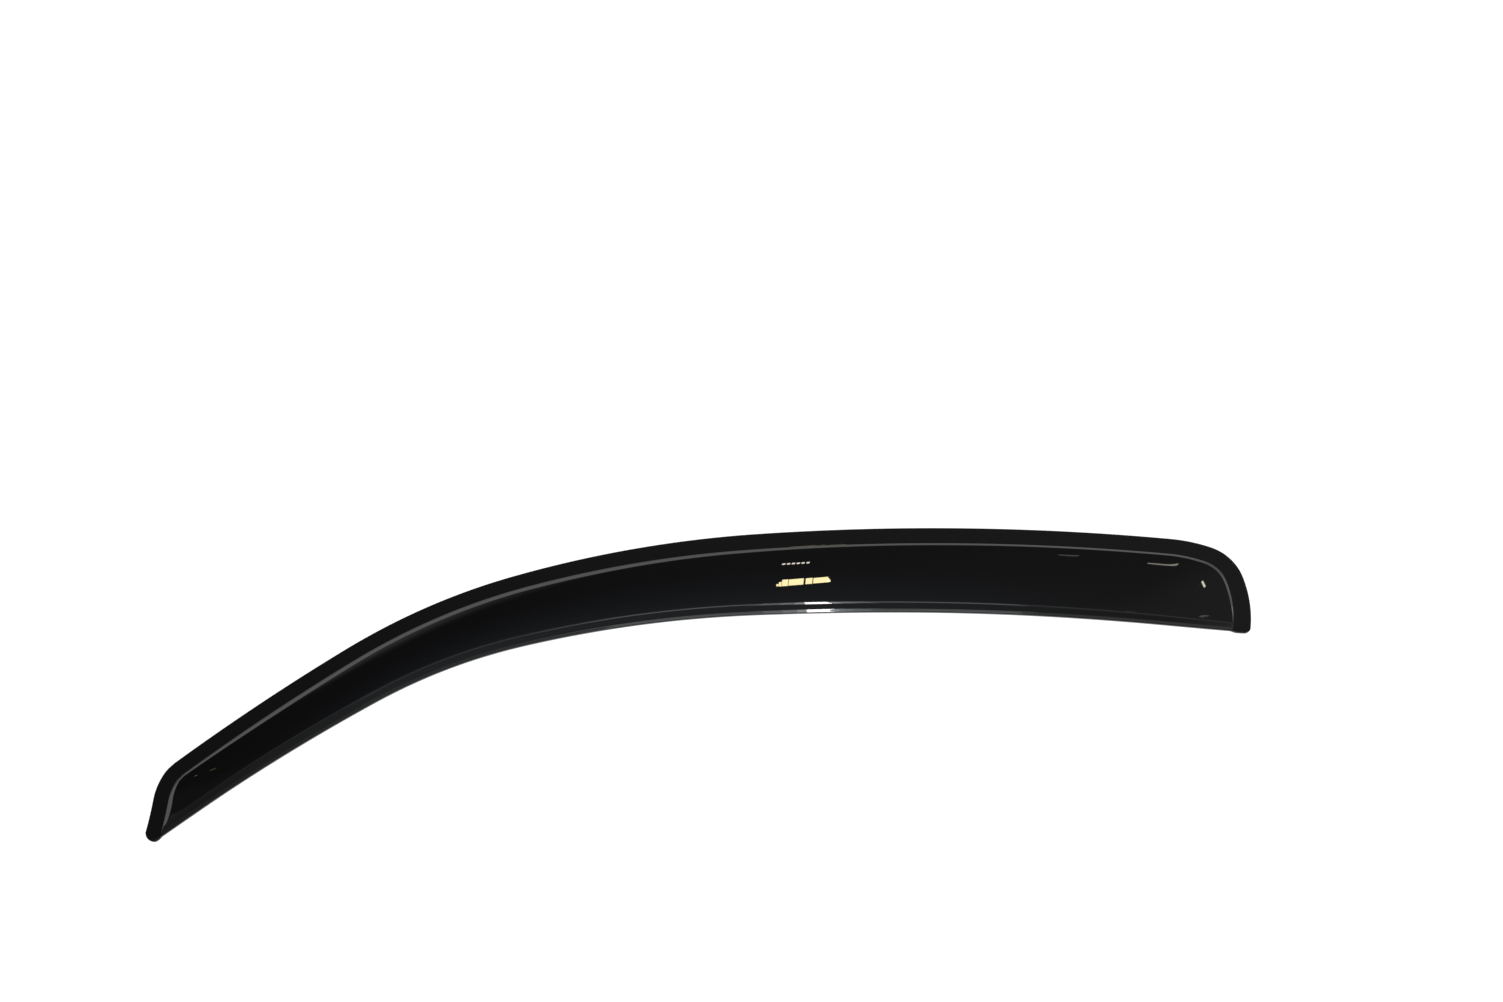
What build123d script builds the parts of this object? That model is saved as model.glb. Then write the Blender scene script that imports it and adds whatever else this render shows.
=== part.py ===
from build123d import *
from math import copysign, cos, degrees, radians, sin, tan
import os

os.makedirs("parts", exist_ok=True)

# Moulding, in millimetres: +X towards the rear of the car, +Y up the window, +Z away from the glass
wall = 3.0
flange_width = 14.0
rear_flange_extra = 3.0

# Outer edge from the toe round to the heel: tangent arcs that turn right, or left where the turn is negative
toe_heading = 77.7
front_end_radius = 344.0
front_end_turn = -8.3
front_cheek_radius = 57.5
front_cheek_turn = 24.4
front_corner_radius = 36.3
front_corner_turn = 22.8
pillar_radius = 1990.0
pillar_turn = 5.35
shoulder_radius = 588.0
shoulder_turn = 16.5
brow_radius = 1071.0
brow_turn = 12.8
roof_radius = 2377.0
roof_turn = 9.7
rear_lead_radius = 157.6
rear_lead_turn = 14.4
rear_corner_radius = 44.9
rear_corner_turn = 54.1
rear_end_radius = 113.6
rear_end_turn = 29.0

# Width of the whole band, square to the top edge, where the long arcs begin and end
pillar_band = 55.0
shoulder_band = 67.0
brow_band = 77.6
brow_middle_band = 83.9
roof_band = 88.8
roof_middle_band = 92.3
rear_band = 90.9

# Step between flange and face: low at the toe, then full, then lower again, at shares of the length
toe_step_rise = 1.7
front_step_rise = 4.0
rear_step_rise = 2.0
step_full_at = 0.13
step_full_until = 0.33
step_low_from = 0.8
step_slope = 37.0
step_root_round = 2.0
step_top_round = 2.5

# Turns of the step line away from the outer edge and back to it, which widen the flange along the brow
step_leaving_turn = 1.0
step_return_turn = 1.37

# Face, highest half way along, and the lip along its lower edge: turned down, then out again as a rim
crown_height = 24.0
crown_power = 3.0
crown_bulge = 1.6
crown_bulge_at_ends = 0.6
lip_run = 4.2
lip_drop = 6.0
rim_lift_at_ends = 0.5
rim_run = 3.1
rim_fall = 0.3
lip_setback = 1.5
crease_round = 3.5
inner_crease_round = 1.0
rim_root_round = 2.0

# Rounded ends and edges
toe_round = 8.3
heel_round = 6.0
flange_edge_round = 0.8
lip_edge_round = 1.0

# Sizes that follow from these
step_lean = tan(radians(90 - step_slope))
step_margin = 3.0
shoulder = wall + front_step_rise + step_margin
end_margin = flange_width + front_step_rise * step_lean
hollow_foot = flange_width + wall / sin(radians(step_slope)) - wall * step_lean
cut_depth = 40.0

STRETCHES = {
    "front_end": (front_end_radius, front_end_turn),
    "front_cheek": (front_cheek_radius, front_cheek_turn),
    "front_corner": (front_corner_radius, front_corner_turn),
    "pillar": (pillar_radius, pillar_turn),
    "shoulder": (shoulder_radius, shoulder_turn),
    "brow": (brow_radius, brow_turn),
    "roof": (roof_radius, roof_turn),
    "rear_lead": (rear_lead_radius, rear_lead_turn),
    "rear_corner": (rear_corner_radius, rear_corner_turn),
    "rear_end": (rear_end_radius, rear_end_turn),
}
rear_flange_turn = degrees(rear_flange_extra / (roof_radius - flange_width))
STEP_TURNS = {
    "shoulder": step_leaving_turn,
    "brow": -step_return_turn,
    "roof": step_return_turn - step_leaving_turn - rear_flange_turn,
}


def bearing(degrees_left_of_x):
    angle = radians(degrees_left_of_x)
    return Vector(cos(angle), sin(angle))


def right_of(direction):
    return Vector(direction.Y, -direction.X)


def ring(inset):
    """Arcs of the outer edge, or of a line inside it that leaves the flange wider towards the rear."""
    heading = toe_heading
    point = right_of(bearing(heading)) * inset
    arcs = {}
    for name, (radius, turn) in STRETCHES.items():
        reach = radius - copysign(1, turn) * inset
        if inset > 0:
            turn += STEP_TURNS.get(name, 0)
        arcs[name] = JernArc(point, bearing(heading), reach, -turn)
        point = arcs[name] @ 1
        heading -= turn
    return arcs


def inside(inset, height):
    """Everything within the inset outer edge, closed straight across below the lower edge."""
    arcs = list(ring(inset).values())
    start = arcs[0] @ 0
    end = arcs[-1] @ 1
    front = start - (arcs[0] % 0) * (cut_depth - inset)
    rear = end + (arcs[-1] % 1) * (cut_depth - inset)
    edges = [Line(front, start), *arcs, Line(end, rear), Line(rear, front)]
    return Pos(0, 0, height) * make_face(edges)


def block(inset, foot, top):
    """What stands inside the step: leaning sides from foot to top, then straight up."""
    low = inside(inset, foot)
    high = inside(inset + (top - foot) * step_lean, top)
    return loft([low, high], ruled=True) + extrude(high, cut_depth)


def coved_block(inset, foot, top, cove):
    """The same on a slab wider than the outline, with a rounded corner where the sides rise."""
    shape = extrude(inside(-flange_width, foot), -2 * wall) + block(inset, foot, top)
    bottom, slab_top, block_top = shape.faces().filter_by(Axis.Z).sort_by(Axis.Z)
    root = slab_top.inner_wires()[0].edges().filter_by(GeomType.CIRCLE)
    return fillet(root, cove)


# Stations along the band: place on the top edge, direction along it, width of the band and of the flange
outer = ring(0)
step_foot = ring(flange_width)
toe = outer["front_end"] @ 0
heel = outer["rear_end"] @ 1
long_bands = {
    "pillar": (pillar_band, (pillar_band + shoulder_band) / 2),
    "shoulder": (shoulder_band, (shoulder_band + brow_band) / 2),
    "brow": (brow_band, brow_middle_band),
    "roof": (roof_band, roof_middle_band),
}
stations = []


def add_station(name, share, band):
    place = outer[name] @ share
    along = outer[name] % share
    flange_here = (step_foot[name] @ share - place).dot(right_of(along))
    stations.append((place, along, band, flange_here))


for name, (start_band, middle_band) in long_bands.items():
    add_station(name, 0, start_band)
    add_station(name, 0.5, middle_band)
add_station("roof", 1, rear_band)


def beyond(station, corner):
    """The station straight on from another one that has a corner of the outline on its lower edge."""
    place, along, band, flange_here = station
    offset = corner - place
    return place + along * offset.dot(along), along, offset.dot(right_of(along)), flange_here


stations = [beyond(stations[0], toe), *stations, beyond(stations[-1], heel)]
low_points = [place + right_of(along) * band for place, along, band, flange_here in stations]
lower_edge = Spline(*reversed(low_points))

# Outline in plan
outline = make_face([*outer.values(), lower_edge])
outline = fillet(outline.vertices().sort_by_distance(toe)[0], toe_round)
outline = fillet(outline.vertices().sort_by_distance(heel)[0], heel_round)

# Share of the full crown, and rise of the step, at each station
gaps = [(b[0] - a[0]).length for a, b in zip(stations, stations[1:])]
crown_length = sum(gaps) - 2 * end_margin
shares = [(sum(gaps[:i]) - end_margin) / crown_length for i in range(len(stations))]
swells = [1 - abs(2 * share - 1) ** crown_power for share in shares]


def eased(share, start, end):
    done = min(max((share - start) / (end - start), 0), 1)
    return done ** 2 * (3 - 2 * done)


def rise_at(share):
    gain = (front_step_rise - toe_step_rise) * eased(share, 0, step_full_at)
    loss = (front_step_rise - rear_step_rise) * eased(share, step_full_until, step_low_from)
    return toe_step_rise + gain - loss


rises = [rise_at(share) for share in shares]


def section(station, swell, rise, inset, crease_fillet, overrun):
    """What lies under the face, lip and rim at a station, as far in as inset from their outside."""
    place, along, band, flange_here = station
    start = flange_here + rise * step_lean
    rim_edge = band - lip_setback
    rim_root = rim_edge - rim_run
    crest = rim_root - lip_run
    bulge = crown_bulge_at_ends + swell * (crown_bulge - crown_bulge_at_ends)
    end_drop = rise - rim_lift_at_ends
    drop = end_drop + swell * (lip_drop - end_drop)

    def face_height(across):
        share = (across - start) / (crest - start)
        climb = swell * (crown_height - rise)
        return wall + rise + climb * share + 4 * bulge * share * (1 - share)

    first = flange_here - step_margin
    middle = (first + crest) / 2
    foot = face_height(crest) - drop
    profile = [
        Vector(first, face_height(first)),
        Vector(middle, face_height(middle)),
        Vector(crest, face_height(crest)),
        Vector(rim_root, foot),
        Vector(rim_edge, foot - rim_fall),
    ]
    sides = [right_of((b - a).normalized()) for a, b in zip(profile, profile[1:])]
    leans = [(a + b) / (1 + a.dot(b)) for a, b in zip([sides[0], *sides], [*sides, sides[-1]])]
    a, b, crease, root, edge = [point + lean * inset for point, lean in zip(profile, leans)]
    edge += (edge - root).normalized() * overrun
    low_outer = Vector(edge.X, -cut_depth)
    low_inner = Vector(a.X, -cut_depth)
    edges = [
        ThreePointArc(a, b, crease),
        Line(crease, root),
        Line(root, edge),
        Line(edge, low_outer),
        Line(low_outer, low_inner),
        Line(low_inner, a),
    ]
    shape = make_face(edges)
    shape = fillet(shape.vertices().sort_by_distance(crease)[0], crease_fillet)
    shape = fillet(shape.vertices().sort_by_distance(root)[0], rim_root_round + inset)
    if not inset:
        shape = fillet(shape.vertices().sort_by_distance(edge)[0], lip_edge_round)
    return Plane(place, x_dir=right_of(along), z_dir=-along) * shape


def under_face(inset, crease_fillet, overrun):
    places = zip(stations, swells, rises)
    return loft([section(*place, inset, crease_fillet, overrun) for place in places])


# Flange with its rounded edge and the cove at the foot of the step
plate = extrude(outline, wall)
plate = fillet(plate.faces().sort_by(Axis.Z)[-1].edges(), flange_edge_round)
plate += extrude(outline & inside(flange_width / 2, 0), wall + step_root_round)
flange = coved_block(flange_width, wall, shoulder, step_root_round) & plate
flange -= extrude(inside(hollow_foot, 0), shoulder)

# Skin of the face on its step, rounded where it leaves the step
skin = block(flange_width, wall, shoulder) + extrude(inside(flange_width, 0), wall)
skin &= under_face(0, crease_round, 0)
face = skin.faces().sort_by(SortBy.AREA)[-1]
skin = fillet(face.edges().sort_by(SortBy.LENGTH)[:-1], step_top_round)

# Hollow behind the face, open along the lower edge
hollow = coved_block(hollow_foot, 0, shoulder - wall, step_root_round + wall)
hollow &= under_face(wall, inner_crease_round, 2 * lip_run)

# Centred on its outline, with the back of the flange at zero height
deflector = Pos(-outline.bounding_box().center()) * (flange + skin - hollow)
export_step(deflector, "parts/deflector.step")
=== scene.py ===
import bmesh
import bpy
import numpy as np
from math import cos, degrees, pi, radians, sin, tan
from mathutils import Matrix, Vector


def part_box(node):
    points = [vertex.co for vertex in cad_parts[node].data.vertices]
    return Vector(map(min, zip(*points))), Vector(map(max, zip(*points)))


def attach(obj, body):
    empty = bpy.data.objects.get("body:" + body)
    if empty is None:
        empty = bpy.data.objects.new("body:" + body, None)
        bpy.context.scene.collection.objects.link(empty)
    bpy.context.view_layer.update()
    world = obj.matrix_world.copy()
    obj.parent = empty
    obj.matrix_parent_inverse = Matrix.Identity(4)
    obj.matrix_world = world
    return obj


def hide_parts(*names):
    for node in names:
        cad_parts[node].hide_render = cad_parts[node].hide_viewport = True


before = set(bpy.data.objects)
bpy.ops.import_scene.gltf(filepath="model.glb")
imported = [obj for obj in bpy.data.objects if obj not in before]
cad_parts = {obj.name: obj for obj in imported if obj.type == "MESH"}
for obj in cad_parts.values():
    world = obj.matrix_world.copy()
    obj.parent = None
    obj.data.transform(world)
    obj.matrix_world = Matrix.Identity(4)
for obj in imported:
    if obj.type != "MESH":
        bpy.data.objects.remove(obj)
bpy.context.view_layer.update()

# Moulding, in millimetres: +X towards the rear of the car, +Y up the window, +Z away from the glass
MM = 0.001
WALL = 3.0
FLANGE_WIDTH = 14.0
REAR_FLANGE_EXTRA = 3.0

# Outer edge from the toe round to the heel: radius and turn to the right of tangent arcs
TOE_HEADING = 77.7
STRETCHES = {
    "front_end": (344.0, -8.3),
    "front_cheek": (57.5, 24.4),
    "front_corner": (36.3, 22.8),
    "pillar": (1990.0, 5.35),
    "shoulder": (588.0, 16.5),
    "brow": (1071.0, 12.8),
    "roof": (2377.0, 9.7),
    "rear_lead": (157.6, 14.4),
    "rear_corner": (44.9, 54.1),
    "rear_end": (113.6, 29.0),
}
LONG_ARCS = ["pillar", "shoulder", "brow", "roof"]
LONG_START = list(STRETCHES).index(LONG_ARCS[0])
LONG_END = LONG_START + len(LONG_ARCS)
RING_END = len(STRETCHES)

# Places along the outer edge, number of the arc plus share of it: the face's rear corner, and past the heel
REAR_TURN = list(STRETCHES).index("rear_corner") + 0.35
PAST_HEEL = RING_END + 0.3

# Width of the whole band at the start and middle of the long arcs, and at the end of the last one
BANDS = [55.0, 61.0, 67.0, 72.3, 77.6, 83.9, 88.8, 92.3, 90.9]

# Step between flange and face: low at the toe, then full, then lower again, at shares of the length
TOE_STEP_RISE = 1.7
FRONT_STEP_RISE = 4.0
REAR_STEP_RISE = 2.0
STEP_FULL_AT = 0.13
STEP_FULL_UNTIL = 0.33
STEP_LOW_FROM = 0.8
STEP_SLOPE = tan(radians(37.0))
STEP_ROOT_ROUND = 2.0
STEP_TOP_ROUND = 2.5

# Turns of the step line away from the outer edge and back to it, which widen the flange along the brow
STEP_LEAVING_TURN = 1.0
STEP_RETURN_TURN = 1.37
REAR_FLANGE_TURN = degrees(REAR_FLANGE_EXTRA / (STRETCHES["roof"][0] - FLANGE_WIDTH))
STEP_TURNS = {
    "shoulder": STEP_LEAVING_TURN,
    "brow": -STEP_RETURN_TURN,
    "roof": STEP_RETURN_TURN - STEP_LEAVING_TURN - REAR_FLANGE_TURN,
}

# Face, lip and rim
CROWN_HEIGHT = 24.0
CROWN_POWER = 3.0
CROWN_BULGE = 1.6
CROWN_BULGE_AT_ENDS = 0.6
LIP_RUN = 4.2
LIP_DROP = 6.0
RIM_LIFT_AT_ENDS = 0.5
RIM_RUN = 3.1
RIM_FALL = 0.3
LIP_SETBACK = 1.5
CREASE_ROUND = 3.5
RIM_ROOT_ROUND = 2.0
FLANGE_EDGE_ROUND = 0.8
LIP_EDGE_ROUND = 1.0

# Rounded corners of the outline at the lower edge: radius, and angle between the edges that meet there
TOE_ROUND = (8.3, radians(42.3))
HEEL_ROUND = (6.0, radians(99.5))

# Sizes that follow from these
FULL_STEP_TOP = FLANGE_WIDTH + FRONT_STEP_RISE / STEP_SLOPE
HOLLOW_FOOT = FLANGE_WIDTH + WALL * (np.hypot(1, STEP_SLOPE) - 1) / STEP_SLOPE

# Height differences within which the surfaces of the underside are rounded into each other
UNDER_CREASE_REACH = 0.6
UNDER_ROOT_REACH = 2.5
HOLLOW_TOP_REACH = 0.1

# Fineness of the mesh on the face with its lip and rim
COLUMNS = 340
FACE_ROWS = 24
CREASE_ROWS = 13
ROOT_ROWS = 6
EDGE_ROWS = 6
LIP_ROWS = CREASE_ROWS + ROOT_ROWS + EDGE_ROWS
ROWS = FACE_ROWS + LIP_ROWS
SHARP_ANGLE = 35.0

# Fineness of the mesh on the strip round the outer edge
FLANGE_ROWS = 12
COVE_ROWS = 8
STEP_ROWS = 6
STEP_TOP_ROWS = 16
INNER_ROWS = 5

# Search for places: number tried along the outer edge and its ends, rounds, and lowest step that is allowed
RING_SAMPLES = 2000
END_SAMPLES = 900
SEARCH_ROUNDS = 20
LOWEST_STEP = 0.5


def directions(heading):
    """Unit vectors forward and to the right at a heading in degrees."""
    angle = np.radians(heading)
    forward = np.stack([np.cos(angle), np.sin(angle)], -1)
    right = np.stack([np.sin(angle), -np.cos(angle)], -1)
    return forward, right


def ring_arcs(extra_turns):
    """Centre, reach, heading and turn of the arcs of the outer edge, or of one with extra turns."""
    heading = TOE_HEADING
    point = np.zeros(2)
    arcs = []
    for name, (radius, turn) in STRETCHES.items():
        reach = np.sign(turn) * radius
        turn += extra_turns.get(name, 0)
        centre = point + reach * directions(heading)[1]
        arcs.append((centre, reach, heading, turn))
        heading -= turn
        point = centre - reach * directions(heading)[1]
    return arcs


def arc_points(arcs, places, inset):
    """Points at an inset from places along arcs, and the direction to the right there."""
    number = np.clip(places.astype(int), 0, len(arcs) - 1)
    centre, reach, heading, turn = (np.array(values)[number] for values in zip(*arcs))
    right = directions(heading - (places - number) * turn)[1]
    return centre - (reach - inset)[:, None] * right, right


OUTER = ring_arcs({})
STEP = ring_arcs(STEP_TURNS)


def inset_points(inset, places):
    """Points on the line at an inset: across the flange it goes over from the outer edge to the step."""
    share = np.minimum(inset / FLANGE_WIDTH, 1)[:, None]
    outside, right = arc_points(OUTER, places, 0.0)
    inside, right = arc_points(STEP, places, np.maximum(inset, FLANGE_WIDTH))
    return (1 - share) * outside + share * inside


# The band: places along its top edge, and across it square to that edge
PATH = OUTER[LONG_START:LONG_END]
MARKS = np.concatenate([[0], np.cumsum([reach * radians(turn) for centre, reach, heading, turn in PATH])])


def band_points(along, across):
    """Plan positions; before the first long arc and after the last one the top edge goes straight on."""
    on_path = np.clip(along, MARKS[0], MARKS[-1])
    number = np.clip(np.searchsorted(MARKS, on_path) - 1, 0, len(PATH) - 1)
    centre, reach, heading, turn = (np.array(values)[number] for values in zip(*PATH))
    forward, right = directions(heading - np.degrees((on_path - MARKS[number]) / reach))
    return centre + (along - on_path)[:, None] * forward + (across - reach)[:, None] * right


def locate(points):
    """Places along and across the band of plan positions."""
    along = np.full(len(points), np.inf)
    across = np.zeros(len(points))
    for k, (centre, reach, heading, turn) in enumerate(PATH):
        forward, right = directions(heading)
        spoke = points - centre
        here = MARKS[k] + reach * np.arctan2(spoke @ forward, -(spoke @ right))
        fresh = ~np.isfinite(along) & ((here <= MARKS[k + 1]) | (k == len(PATH) - 1))
        along[fresh] = here[fresh]
        across[fresh] = (reach - np.linalg.norm(spoke, axis=1))[fresh]
    for end, (centre, reach, heading, turn), share in ((0, PATH[0], 0), (-1, PATH[-1], 1)):
        forward, right = directions(heading - share * turn)
        step = points - centre + reach * right
        outside = along < MARKS[0] if end == 0 else along > MARKS[-1]
        along[outside] = (MARKS[end] + step @ forward)[outside]
        across[outside] = (step @ right)[outside]
    return along, across


def natural_spline(knots, values):
    """Cubic spline through the values, without bend at both ends, as a function."""
    gap = np.diff(knots)
    slope = np.diff(values) / gap
    system = np.eye(len(knots))
    sides = np.zeros(len(knots))
    for k in range(1, len(gap)):
        system[k, k - 1:k + 2] = gap[k - 1], 2 * (gap[k - 1] + gap[k]), gap[k]
        sides[k] = 6 * (slope[k] - slope[k - 1])
    bend = np.linalg.solve(system, sides)

    def value(x):
        k = np.clip(np.searchsorted(knots, x) - 1, 0, len(gap) - 1)
        near = (knots[k + 1] - x) / gap[k]
        far = 1 - near
        curve = (near ** 3 - near) * bend[k] + (far ** 3 - far) * bend[k + 1]
        return near * values[k] + far * values[k + 1] + curve * gap[k] ** 2 / 6

    return value


def eased(share, start, end):
    done = np.clip((share - start) / (end - start), 0, 1)
    return done ** 2 * (3 - 2 * done)


# Width of the band and of the flange, share of the full crown, and rise of the step along the band
END_PLACES, END_WIDTHS = locate(arc_points(OUTER, np.array([0.0, RING_END]), 0.0)[0])
HALVES = np.linspace(LONG_START, LONG_END, len(BANDS))
LONG_PLACES = np.interp(HALVES, LONG_START + np.arange(len(MARKS)), MARKS)
KNOTS = np.array([END_PLACES[0], *LONG_PLACES, END_PLACES[1]])
SHARES = (KNOTS - KNOTS[0] - FULL_STEP_TOP) / (KNOTS[-1] - KNOTS[0] - 2 * FULL_STEP_TOP)
EDGE_POINTS, EDGE_RIGHTS = arc_points(OUTER, HALVES, 0.0)
FLANGES = ((arc_points(STEP, HALVES, FLANGE_WIDTH)[0] - EDGE_POINTS) * EDGE_RIGHTS).sum(1)
GAIN = (FRONT_STEP_RISE - TOE_STEP_RISE) * eased(SHARES, 0, STEP_FULL_AT)
LOSS = (FRONT_STEP_RISE - REAR_STEP_RISE) * eased(SHARES, STEP_FULL_UNTIL, STEP_LOW_FROM)
width_at = natural_spline(KNOTS, np.array([END_WIDTHS[0], *BANDS, END_WIDTHS[1]]))
flange_at = natural_spline(KNOTS, np.array([FLANGES[0], *FLANGES, FLANGES[-1]]))
swell_at = natural_spline(KNOTS, 1 - abs(2 * SHARES - 1) ** CROWN_POWER)
rise_at = natural_spline(KNOTS, TOE_STEP_RISE + GAIN - LOSS)


def soft_min(a, b, reach):
    """The lower of two heights, rounded where they come within reach of each other."""
    near = np.maximum(reach - abs(a - b), 0) / reach
    return np.minimum(a, b) - near ** 2 * reach / 4


def soft_max(a, b, reach):
    return -soft_min(-a, -b, reach)


def round_reach(radius, change_of_slope):
    """Reach with which soft_min or soft_max rounds a corner to about a radius."""
    return 0.4 * radius * change_of_slope ** 2


class Section:
    """The section across the band at places along it."""

    def __init__(self, along):
        swell = swell_at(along)
        rise = rise_at(along)
        end_drop = rise - RIM_LIFT_AT_ENDS
        self.width = width_at(along)
        self.step_top = WALL + rise
        self.climb = swell * (CROWN_HEIGHT - rise)
        self.bulge = CROWN_BULGE_AT_ENDS + swell * (CROWN_BULGE - CROWN_BULGE_AT_ENDS)
        self.drop = end_drop + swell * (LIP_DROP - end_drop)
        self.start = flange_at(along) + rise / STEP_SLOPE
        self.edge = self.width - LIP_SETBACK
        self.root = self.edge - RIM_RUN
        self.crest = self.root - LIP_RUN
        self.foot = self.face(self.crest) - self.drop

    def share(self, across):
        return (across - self.start) / (self.crest - self.start)

    def face(self, across):
        share = self.share(across)
        return self.step_top + self.climb * share + 4 * self.bulge * share * (1 - share)

    def slope(self, across):
        return (self.climb + 4 * self.bulge * (1 - 2 * self.share(across))) / (self.crest - self.start)

    def under(self, across):
        """Height of the underside, one wall below the face, the lip and the rim."""
        lip_slope = self.drop / LIP_RUN
        rim_slope = RIM_FALL / RIM_RUN
        face = self.face(across) - WALL * np.hypot(1, self.slope(across))
        lip = self.foot - (across - self.root) * lip_slope - WALL * np.hypot(1, lip_slope)
        rim = self.foot - (across - self.root) * rim_slope - WALL * np.hypot(1, rim_slope)
        shape = soft_min(face, lip, UNDER_CREASE_REACH)
        beyond = across > self.crest - WALL
        return np.where(beyond, soft_max(shape, rim, UNDER_ROOT_REACH), shape)

    def rows(self, strip):
        """Places across and heights of the rows from the strip round the edge to the rim's edge."""
        face_angle = np.arctan(self.slope(self.crest))
        lip_angle = np.arctan(-self.drop / LIP_RUN)
        rim_angle = np.arctan(-RIM_FALL / RIM_RUN)
        tangent = CREASE_ROUND * np.tan((face_angle - lip_angle) / 2)
        crease_y = self.crest - tangent * np.cos(face_angle) + CREASE_ROUND * np.sin(face_angle)
        crease_z = self.foot + self.drop - tangent * np.sin(face_angle) - CREASE_ROUND * np.cos(face_angle)
        first = crease_y - CREASE_ROUND * np.sin(face_angle)
        across = [strip + v * (first - strip) for v in np.arange(FACE_ROWS) / FACE_ROWS]
        height = [self.face(y) for y in across]
        for share in np.linspace(0, 1, CREASE_ROWS):
            angle = face_angle + share * (lip_angle - face_angle)
            across.append(crease_y - CREASE_ROUND * np.sin(angle))
            height.append(crease_z + CREASE_ROUND * np.cos(angle))
        tangent = RIM_ROOT_ROUND * np.tan((rim_angle - lip_angle) / 2)
        root_y = self.root - tangent * np.cos(lip_angle) - RIM_ROOT_ROUND * np.sin(lip_angle)
        root_z = self.foot - tangent * np.sin(lip_angle) + RIM_ROOT_ROUND * np.cos(lip_angle)
        for share in np.linspace(0, 1, ROOT_ROWS):
            angle = lip_angle + share * (rim_angle - lip_angle)
            across.append(root_y + RIM_ROOT_ROUND * np.sin(angle))
            height.append(root_z - RIM_ROOT_ROUND * np.cos(angle))
        for turn in np.linspace(0, radians(90), EDGE_ROWS):
            inset = LIP_EDGE_ROUND * (1 - sin(turn))
            fall = LIP_EDGE_ROUND * (1 - cos(turn))
            across.append(self.edge - inset)
            height.append(self.foot - RIM_FALL * (1 - inset / RIM_RUN) - fall)
        return np.array(across), np.array(height)


def edge_drop(depth):
    """How far the rounded edge of the flange lies below its top, at a depth inside the outline."""
    left = FLANGE_EDGE_ROUND - np.minimum(depth, FLANGE_EDGE_ROUND)
    return FLANGE_EDGE_ROUND - np.sqrt(FLANGE_EDGE_ROUND ** 2 - left ** 2)


def corner_depth(inset, corner):
    """How far above the lower edge the rounded corner of the outline lies, at an inset."""
    radius, angle = corner
    if inset >= radius * (1 + cos(angle)):
        return 0.0
    offset = min(inset, 2 * radius) - radius
    return radius - offset * cos(angle) - sin(angle) * np.sqrt(max(radius ** 2 - offset ** 2, 0))


# Rows at the ends of the flange: depths inside the outline, and insets between which they go over to the lip
FLANGE_END_DEPTHS = (1.2, 10.0)
EDGE_DEPTHS = FLANGE_EDGE_ROUND * (1 - np.cos(np.linspace(0, radians(90), EDGE_ROWS)))
INNER_DEPTHS = np.linspace(*FLANGE_END_DEPTHS, LIP_ROWS - EDGE_ROWS)
FLANGE_DEPTHS = np.concatenate([EDGE_DEPTHS, INNER_DEPTHS])[::-1]
TURN_ON = (11.0, 16.0)


def on_face(inset):
    """How far a line at an inset has gone over from the flange's end to the lip's section."""
    return np.clip((inset - TURN_ON[0]) / (TURN_ON[1] - TURN_ON[0]), 0, 1)


def step_tops(places):
    """Insets at which the step meets the face, at places along the outer edge."""
    top = np.full(len(places), FULL_STEP_TOP)
    for _ in range(SEARCH_ROUNDS):
        along, across = locate(inset_points(top, places))
        top = FLANGE_WIDTH + np.maximum(Section(along).face(across) - WALL, LOWEST_STEP) / STEP_SLOPE
    return top


EDGE_PLACES = np.linspace(0, PAST_HEEL, RING_SAMPLES)
STEP_TOPS = step_tops(EDGE_PLACES)

# Strip round the outer edge: half width of the step's root, reach of the rows about its top, and whole width
COVE = 0.4 * STEP_ROOT_ROUND
TOP_REACH = (-0.9, 2.0)
STRIP_WIDTH = FULL_STEP_TOP + 5.0


def strip_insets(row, places):
    """Insets of a row of the strip: past the root of the step the rows keep with the step's top."""
    top = np.interp(places, EDGE_PLACES, STEP_TOPS)
    before, past = TOP_REACH
    full = [0, FLANGE_WIDTH + COVE, FULL_STEP_TOP + before, FULL_STEP_TOP + past, STRIP_WIDTH]
    here = [0, FLANGE_WIDTH + COVE, top + before, top + past, STRIP_WIDTH]
    stretch = np.clip(np.searchsorted(full, row) - 1, 0, len(full) - 2)
    share = (row - full[stretch]) / (full[stretch + 1] - full[stretch])
    return (1 - share) * here[stretch] + share * here[stretch + 1] + np.zeros(len(places))


def end_places(row, start, end, corner, shares):
    """Places on a row of the strip, from an end of the long arcs outwards, where the face's rows meet it.
    The rows of the face keep the shares of the way to the lip that they have on the innermost row."""
    u = np.linspace(0, 1, END_SAMPLES)
    inset = strip_insets(row, start + u * (end - start))
    points = inset_points(inset, start + u * (end - start))
    along, across = locate(points)
    section = Section(along)
    rows = section.rows(across[0])[0]
    flange_rows = section.width - corner_depth(row, corner) - FLANGE_DEPTHS[:, None]
    lip_rows = on_face(inset) * rows[FACE_ROWS:] + (1 - on_face(inset)) * flange_rows
    lip = np.array([np.interp(0, across - line, u) for line in lip_rows])
    length = np.concatenate([[0], np.cumsum(np.linalg.norm(np.diff(points, axis=0), axis=1))])
    if shares is None:
        face = np.array([np.interp(0, across - line, u) for line in rows[1:FACE_ROWS]])
        shares = np.interp(face, u, length) / np.interp(lip[0], u, length)
    face = np.interp(shares * np.interp(lip[0], u, length), length, u)
    return start + np.concatenate([face, lip]) * (end - start), shares


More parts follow.
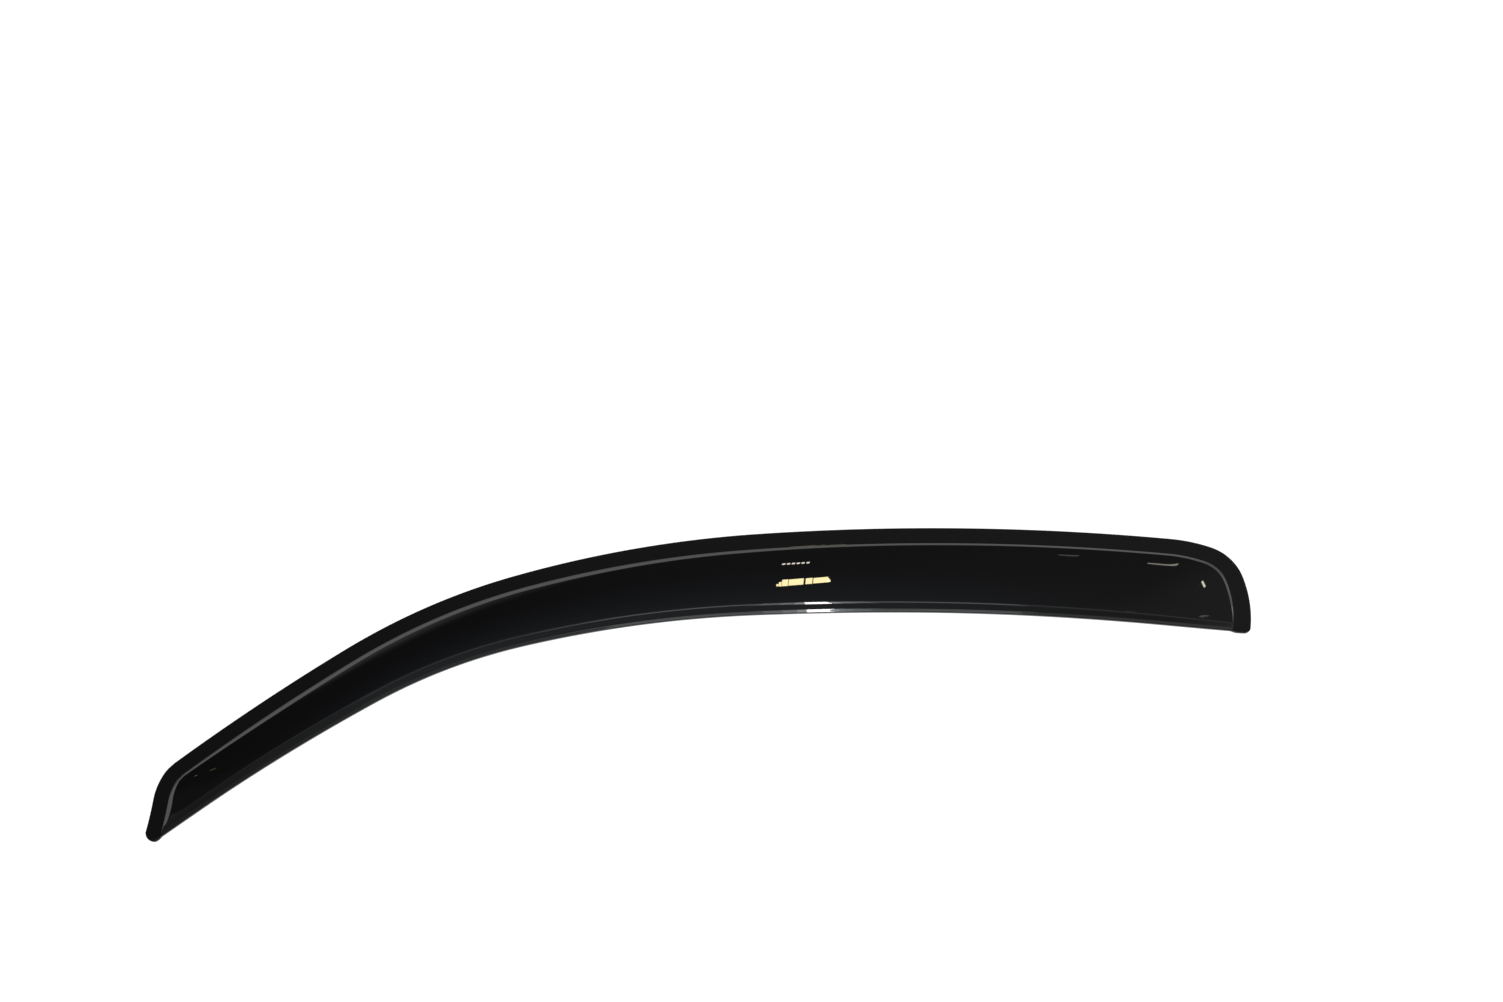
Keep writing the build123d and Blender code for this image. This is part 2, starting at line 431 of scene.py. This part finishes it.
def strip_rows():
    """Rows of the strip round the outer edge: rounded edge, flange, root, wall and top of the step."""
    top_start, top_end = (FULL_STEP_TOP + reach for reach in TOP_REACH)
    return np.concatenate([
        EDGE_DEPTHS,
        np.linspace(FLANGE_EDGE_ROUND, FLANGE_WIDTH - COVE, FLANGE_ROWS)[1:-1],
        np.linspace(FLANGE_WIDTH - COVE, FLANGE_WIDTH + COVE, COVE_ROWS),
        np.linspace(FLANGE_WIDTH + COVE, top_start, STEP_ROWS)[1:-1],
        np.linspace(top_start, top_end, STEP_TOP_ROWS),
        np.linspace(top_end, STRIP_WIDTH, INNER_ROWS)[1:],
    ])


def strip_row(row, places, row_of_column, depths):
    """Plan positions, heights of top and underside, and places in the band, for one row of the strip."""
    inset = strip_insets(row, places)
    points = inset_points(inset, places)
    along, across = locate(points)
    section = Section(along)
    if row < TURN_ON[0]:
        depth = np.minimum(inset, depths)
        return points, WALL - edge_drop(depth), np.zeros(len(points)), along, across
    lip_heights = np.take_along_axis(section.rows(across)[1], row_of_column[None], 0)[0]
    height = np.where(row_of_column >= FACE_ROWS, lip_heights, section.face(across)) - WALL
    height = np.where(inset < HOLLOW_FOOT, np.maximum(height, 0), height)
    rise = soft_max((inset - FLANGE_WIDTH) * STEP_SLOPE, 0.0, round_reach(STEP_ROOT_ROUND, STEP_SLOPE))
    top = WALL + soft_min(rise, height, round_reach(STEP_TOP_ROUND, STEP_SLOPE - section.slope(across)))
    hollow_reach = round_reach(STEP_ROOT_ROUND + WALL, STEP_SLOPE)
    hollow = soft_max((inset - HOLLOW_FOOT) * STEP_SLOPE, 0.0, hollow_reach)
    under = np.maximum(soft_min(hollow, section.under(across), HOLLOW_TOP_REACH), 0)
    return points, top - (1 - on_face(inset)) * edge_drop(depths), under, along, across


def painted_lip_light_share(row, along):
    """Share of painted light on a row of the face: more near the lip, counted where the face stands high."""
    return np.clip(row / FACE_ROWS, 0, 1) ** 2 * np.clip(swell_at(along), 0, 1) ** 3


def quads(index):
    """Faces between the neighbouring rows and columns of a grid of points."""
    a, b, c, d = index[:-1, :-1], index[:-1, 1:], index[1:, 1:], index[1:, :-1]
    return np.stack([a, d, c, b], -1).reshape(-1, 4)


def moulding_mesh():
    """Top and underside as one grid of rows each, joined by a wall round the outline."""
    lengths = np.cumsum([0, *(reach * radians(turn) for centre, reach, heading, turn in OUTER)])
    ends = np.interp([LONG_START, REAR_TURN], np.arange(len(lengths)), lengths)
    middle = np.interp(np.linspace(*ends, COLUMNS), lengths, np.arange(len(lengths)))
    row_of_column = np.concatenate([np.arange(ROWS - 1, 0, -1), np.zeros(COLUMNS, int), np.arange(1, ROWS)])
    depths = np.full(len(row_of_column), np.inf)
    lip_columns = row_of_column >= FACE_ROWS
    depths[lip_columns] = FLANGE_DEPTHS[row_of_column[lip_columns] - FACE_ROWS]
    front_shares = None
    rear_shares = None
    strip = []
    for row in strip_rows()[::-1]:
        front, front_shares = end_places(row, LONG_START, 0.0, TOE_ROUND, front_shares)
        rear, rear_shares = end_places(row, REAR_TURN, PAST_HEEL, HEEL_ROUND, rear_shares)
        places = np.concatenate([front[::-1], middle, rear])
        strip.append(strip_row(row, places, row_of_column, depths))
    strip.reverse()
    plan = [row[0] for row in strip]
    # Share of painted light near the lip at each point: none on the strip but its innermost row
    painted_lip_light = [np.zeros(len(row_of_column)) for row in strip]
    painted_lip_light[-1] = painted_lip_light_share(row_of_column, strip[-1][3])
    top = [row[1] for row in strip]
    under = [row[2] for row in strip]
    strip_index = np.arange(len(strip) * len(row_of_column)).reshape(len(strip), -1)

    # The face between the strip and the rim's edge
    along, start_across = strip[-1][3:]
    left = ROWS - 1
    right = ROWS + COLUMNS - 2
    shares = (along[left:right + 1] - along[left]) / (along[right] - along[left])
    face_index = np.zeros((ROWS, COLUMNS), int)
    face_index[0] = strip_index[-1, left:right + 1]
    face_index[:, 0] = strip_index[-1, left::-1]
    face_index[:, -1] = strip_index[-1, right:]
    for row in range(1, ROWS):
        places = along[left - row] + shares[1:-1] * (along[right + row] - along[left - row])
        section = Section(places)
        across, height = (values[row] for values in section.rows(start_across[left + 1:right]))
        face_index[row, 1:-1] = strip_index.size + (row - 1) * (COLUMNS - 2) + np.arange(COLUMNS - 2)
        plan.append(band_points(places, across))
        painted_lip_light.append(painted_lip_light_share(row, places))
        top.append(height)
        under.append(section.under(across))

    plan = np.concatenate(plan)
    plan += np.array(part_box("deflector")[1][:2]) / MM - plan.max(0)
    count = len(plan)
    upper = np.column_stack([plan, np.concatenate(top)])
    lower = np.column_stack([plan, np.concatenate(under)])
    loop = np.concatenate([
        strip_index[0],
        strip_index[1:, -1],
        face_index[-1, -2::-1],
        strip_index[-2:0:-1, 0],
    ])
    ahead = np.roll(loop, -1)
    faces = np.concatenate([quads(strip_index), quads(face_index)])
    wall = np.stack([loop, ahead, ahead + count, loop + count], -1)
    mesh = bpy.data.meshes.new("deflector_moulding")
    every_face = np.concatenate([faces, faces[:, ::-1] + count, wall])
    mesh.from_pydata((np.concatenate([upper, lower]) * MM).tolist(), [], every_face.tolist())
    shell = bmesh.new()
    shell.from_mesh(mesh)
    bmesh.ops.recalc_face_normals(shell, faces=shell.faces)
    shell.to_mesh(mesh)
    shell.free()
    # The share of painted light near the lip, kept on the mesh for the material
    layer = mesh.attributes.new("painted_lip_light", "FLOAT", "POINT")
    layer.data.foreach_set("value", np.tile(np.concatenate(painted_lip_light), 2).astype(np.float32))
    mesh.shade_smooth()
    mesh.set_sharp_from_angle(angle=radians(SHARP_ANGLE))
    return mesh


# Acrylic: the two blacks that it varies between, a paler bluish black painted near the lip as painted light,
# and the range of its roughness
DEEP_BLACK = (0.0014, 0.0014, 0.0016, 1)
PALER_BLACK = (0.0028, 0.0028, 0.0031, 1)
# Painted light: a paler bluish black mixed in near the lip, standing for reflection and light through the
# tint
PAINTED_LIP_LIGHT = (0.0095, 0.0105, 0.0127, 1)
ROUGHNESS = (0.004, 0.014)
REFRACTION = 1.5


def gloss_black():
    """Polished smoke-black acrylic. Towards the open lower edge a paler bluish colour is painted into the
    base colour where the face stands high: painted light standing for reflection and for light coming through
    the tint.
    """
    material = bpy.data.materials.new("acrylic")
    material.use_nodes = True
    nodes = material.node_tree.nodes
    link = material.node_tree.links.new
    shader = nodes["Principled BSDF"]
    shader.inputs["IOR"].default_value = REFRACTION
    place = nodes.new("ShaderNodeTexCoord")
    clouds = nodes.new("ShaderNodeTexNoise")
    clouds.inputs["Scale"].default_value = 9.0
    clouds.inputs["Detail"].default_value = 3.0
    link(place.outputs["Object"], clouds.inputs["Vector"])
    tint = nodes.new("ShaderNodeMix")
    tint.data_type = "RGBA"
    tint.inputs["A"].default_value = DEEP_BLACK
    tint.inputs["B"].default_value = PALER_BLACK
    link(clouds.outputs["Fac"], tint.inputs["Factor"])
    # Painted light near the lip: the mesh's share mixes a paler bluish black into the base colour
    edge = nodes.new("ShaderNodeAttribute")
    edge.attribute_name = "painted_lip_light"
    lip_light_paint = nodes.new("ShaderNodeMix")
    lip_light_paint.data_type = "RGBA"
    lip_light_paint.inputs["B"].default_value = PAINTED_LIP_LIGHT
    link(edge.outputs["Fac"], lip_light_paint.inputs["Factor"])
    link(tint.outputs["Result"], lip_light_paint.inputs["A"])
    link(lip_light_paint.outputs["Result"], shader.inputs["Base Color"])
    gloss = nodes.new("ShaderNodeMapRange")
    gloss.inputs["To Min"].default_value = ROUGHNESS[0]
    gloss.inputs["To Max"].default_value = ROUGHNESS[1]
    link(clouds.outputs["Fac"], gloss.inputs["Value"])
    link(gloss.outputs["Result"], shader.inputs["Roughness"])
    return material


def add_moulding():
    piece = bpy.data.objects.new("deflector_moulding", moulding_mesh())
    bpy.context.scene.collection.objects.link(piece)
    piece.data.materials.append(gloss_black())
    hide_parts("deflector")
    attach(piece, "root")


# Camera, in metres: where its axis meets the floor, and how far off and how steeply it looks down
PHOTO_WIDTH = 1503
FOCAL_PIXELS = 1800
SENSOR_WIDTH = 36.0
AIM = Vector((0.03807, 0.18117, 0.0))
CAMERA_DISTANCE = 1.7606
CAMERA_ELEVATION = 69.0


def add_camera():
    data = bpy.data.cameras.new("camera")
    data.sensor_width = SENSOR_WIDTH
    data.lens = SENSOR_WIDTH * FOCAL_PIXELS / PHOTO_WIDTH
    camera = bpy.data.objects.new("camera", data)
    bpy.context.scene.collection.objects.link(camera)
    slope = radians(CAMERA_ELEVATION)
    camera.location = AIM + CAMERA_DISTANCE * Vector((0, -cos(slope), sin(slope)))
    camera.rotation_euler = (radians(90 - CAMERA_ELEVATION), 0, 0)
    bpy.context.scene.camera = camera


# Floor: size in metres, what it shows to the camera and in reflections, and the paint that takes the shadow
FLOOR_SIZE = 12.0
FLOOR_GLOW = 1.0
FLOOR_PAINT = 0.2


def add_floor():
    """White table: even and bright to the camera and in reflections, with room for the part's shadow."""
    bpy.ops.mesh.primitive_plane_add(size=FLOOR_SIZE, location=(0, 0, 0))
    floor = bpy.context.object
    floor.name = "floor"
    material = bpy.data.materials.new("floor")
    material.use_nodes = True
    nodes = material.node_tree.nodes
    link = material.node_tree.links.new
    nodes.remove(nodes["Principled BSDF"])
    path = nodes.new("ShaderNodeLightPath")
    mirrored = nodes.new("ShaderNodeMath")
    mirrored.operation = "MAXIMUM"
    link(path.outputs["Is Glossy Ray"], mirrored.inputs[0])
    link(path.outputs["Is Transmission Ray"], mirrored.inputs[1])
    seen = nodes.new("ShaderNodeMath")
    seen.operation = "MAXIMUM"
    link(path.outputs["Is Camera Ray"], seen.inputs[0])
    link(mirrored.outputs["Value"], seen.inputs[1])
    glow = nodes.new("ShaderNodeEmission")
    glow.inputs["Color"].default_value = (FLOOR_GLOW, FLOOR_GLOW, FLOOR_GLOW, 1)
    link(seen.outputs["Value"], glow.inputs["Strength"])
    paint = nodes.new("ShaderNodeBsdfDiffuse")
    paint.inputs["Color"].default_value = (FLOOR_PAINT, FLOOR_PAINT, FLOOR_PAINT, 1)
    both = nodes.new("ShaderNodeAddShader")
    link(glow.outputs["Emission"], both.inputs[0])
    link(paint.outputs["BSDF"], both.inputs[1])
    link(both.outputs["Shader"], nodes["Material Output"].inputs["Surface"])
    floor.data.materials.append(material)


# Room: strength towards the front end of the part and towards the rear end, and how far aside each is reached
ROOM_AT_FRONT_END = 0.48
ROOM_AT_REAR_END = 1.25
ROOM_SIDE = 0.35

# Room: brightness and tint by the angle over the table, from the front horizon over the top to the back one
ROOM = [
    (0, (0.20, 0.205, 0.205)),
    (40, (0.18, 0.18, 0.18)),
    (62, (0.28, 0.28, 0.28)),
    (78, (0.48, 0.48, 0.48)),
    (86, (0.66, 0.66, 0.66)),
    (94, (0.60, 0.60, 0.60)),
    (97.5, (0.20, 0.20, 0.20)),
    (111, (0.20, 0.20, 0.20)),
    (125, (0.125, 0.125, 0.128)),
    (150, (0.11, 0.11, 0.115)),
    (160, (0.12, 0.12, 0.12)),
    (170, (1.1, 1.1, 1.1)),
    (178, (1.7, 1.7, 1.7)),
]


def add_room():
    world = bpy.data.worlds.new("room")
    bpy.context.scene.world = world
    world.use_nodes = True
    nodes = world.node_tree.nodes
    link = world.node_tree.links.new
    place = nodes.new("ShaderNodeTexCoord")
    split = nodes.new("ShaderNodeSeparateXYZ")
    link(place.outputs["Generated"], split.inputs["Vector"])
    front = nodes.new("ShaderNodeMath")
    front.operation = "MULTIPLY"
    front.inputs[1].default_value = -1
    link(split.outputs["Y"], front.inputs[0])
    angle = nodes.new("ShaderNodeMath")
    angle.operation = "ARCTAN2"
    link(split.outputs["Z"], angle.inputs[0])
    link(front.outputs["Value"], angle.inputs[1])
    share = nodes.new("ShaderNodeMath")
    share.operation = "DIVIDE"
    share.inputs[1].default_value = pi
    link(angle.outputs["Value"], share.inputs[0])
    ramp = nodes.new("ShaderNodeValToRGB")
    ramp.color_ramp.interpolation = "EASE"
    link(share.outputs["Value"], ramp.inputs["Fac"])
    stops = ramp.color_ramp.elements
    while len(stops) < len(ROOM):
        stops.new(0.5)
    for stop, (degrees_up, colour) in zip(stops, ROOM):
        stop.position = degrees_up / 180
        stop.color = (*colour, 1)
    link(ramp.outputs["Color"], nodes["Background"].inputs["Color"])
    side = nodes.new("ShaderNodeMapRange")
    side.inputs["From Min"].default_value = -ROOM_SIDE
    side.inputs["From Max"].default_value = ROOM_SIDE
    side.inputs["To Min"].default_value = ROOM_AT_FRONT_END
    side.inputs["To Max"].default_value = ROOM_AT_REAR_END
    link(split.outputs["X"], side.inputs["Value"])
    link(side.outputs["Result"], nodes["Background"].inputs["Strength"])


# Lamps: place in metres, the vector of one side, length of the other side, colour and brightness
WARM = (1.0, 0.86, 0.45)
CREAM = (1.0, 0.93, 0.80)
PALE = (1.0, 0.95, 0.93)
COOL = (0.92, 0.98, 1.0)
LAMPS = {
    "softbox": ((0.25, -0.35, 1.6), (0.8, 0.0, 0.0), 0.9, COOL, 1.3),
    "thin_line": ((0.952, 2.292, 1.832), (0.060, -0.075, 0.075), 0.003, CREAM, 1.4),
    "slanted_line": ((0.556, 0.368, 0.356), (0.0277, -0.0482, 0.0022), 0.0009, CREAM, 5.5),
    "rear_spot": ((1.464, 1.225, 2.485), (0.056, -0.087, 0.015), 0.008, CREAM, 16.0),
    "rear_glint": ((1.719, 0.865, 2.497), (0.021, -0.055, 0.010), 0.0025, CREAM, 3.0),
    "front_line": ((-2.212, 1.380, 1.793), (-0.0007, 0.010, -0.0093), 0.006, WARM, 4.0),
}

# Point on the part that all lamps face
LAMPS_FACE = Vector((0.1, 0.09, 0.02))

# Strip lamp bent round an axis along the part: angle up from the front horizon and place along the part
STRIP_LAMP = [(100, 0.200), (70, 0.231), (42, 0.248)]
STRIP_LAMP_AXIS = (0.068, 0.026)
STRIP_LAMP_REACH = 1.9

# Strip lamp and its glow: width, colour and brightness that each adds
STRIP_LAYERS = [(0.05, PALE, 30.0), (0.09, COOL, 4.5), (0.15, COOL, 2.2), (0.23, COOL, 1.1)]

# Window: left and right edge of each pane from the middle, height, and lift of its middle
WINDOW_PLACE = Vector((0.1465, 2.429, 1.735))
WINDOW_LEAN = 3.8
WINDOW_BRIGHTNESS = 24.0
WINDOW_PANES = [
    (-0.0862, -0.0795, 0.050, 0.052),
    (-0.0795, -0.0710, 0.095, 0.030),
    (-0.0710, -0.0515, 0.144, 0.0),
    (-0.0495, -0.0020, 0.134, 0.0),
    (0.0050, 0.0265, 0.126, 0.0),
    (0.0295, 0.0770, 0.116, 0.0),
    (0.0770, 0.0830, 0.080, 0.018),
    (0.0830, 0.0885, 0.045, 0.034),
]

# Row of small lamps
DOTS = 6
DOTS_PLACE = Vector((0.091, 2.661, 1.396))
DOT_STEP = Vector((0.0156, -0.0016, 0.0034))
DOT_SIZE = (0.0098, 0.028)
DOT_BRIGHTNESS = 18.0


def add_lamp(name, place, side, height, colour, brightness):
    """A flat lamp with a given side, turned to face the part."""
    side = Vector(side)
    data = bpy.data.lights.new(name, "AREA")
    data.shape = "RECTANGLE"
    data.size = side.length
    data.size_y = height
    data.color = colour
    data.energy = brightness * pi * side.length * height
    lamp = bpy.data.objects.new(name, data)
    bpy.context.scene.collection.objects.link(lamp)
    away = (Vector(place) - LAMPS_FACE).normalized()
    across = (side - side.dot(away) * away).normalized()
    turned = Matrix((across, away.cross(across), away)).transposed()
    lamp.matrix_world = Matrix.Translation(place) @ turned.to_4x4()
    lamp.visible_camera = False


def add_strip_lamp():
    depth, height = STRIP_LAMP_AXIS
    points = []
    for angle, place in STRIP_LAMP:
        reach = STRIP_LAMP_REACH * Vector((-cos(radians(angle)), sin(radians(angle))))
        points.append(Vector((place, depth + reach.x, height + reach.y)))
    for k, (start, end) in enumerate(zip(points, points[1:])):
        for layer, settings in enumerate(STRIP_LAYERS):
            add_lamp(f"strip_{k}_{layer}", (start + end) / 2, end - start, *settings)


def add_window():
    lean = Vector((cos(radians(WINDOW_LEAN)), 0, -sin(radians(WINDOW_LEAN))))
    for k, (left, right, height, lift) in enumerate(WINDOW_PANES):
        place = WINDOW_PLACE + Vector(((left + right) / 2, 0, lift))
        add_lamp(f"window_{k}", place, (right - left) * lean, height, WARM, WINDOW_BRIGHTNESS)


def add_dots():
    width, height = DOT_SIZE
    for k in range(DOTS):
        place = DOTS_PLACE + (k - (DOTS - 1) / 2) * DOT_STEP
        add_lamp(f"dot_{k}", place, (width, 0, 0), height, CREAM, DOT_BRIGHTNESS)


def add_lamps():
    for name, settings in LAMPS.items():
        add_lamp(name, *settings)
    add_strip_lamp()
    add_window()
    add_dots()


add_moulding()
add_camera()
add_floor()
add_room()
add_lamps()
bpy.context.scene.view_settings.view_transform = "Standard"
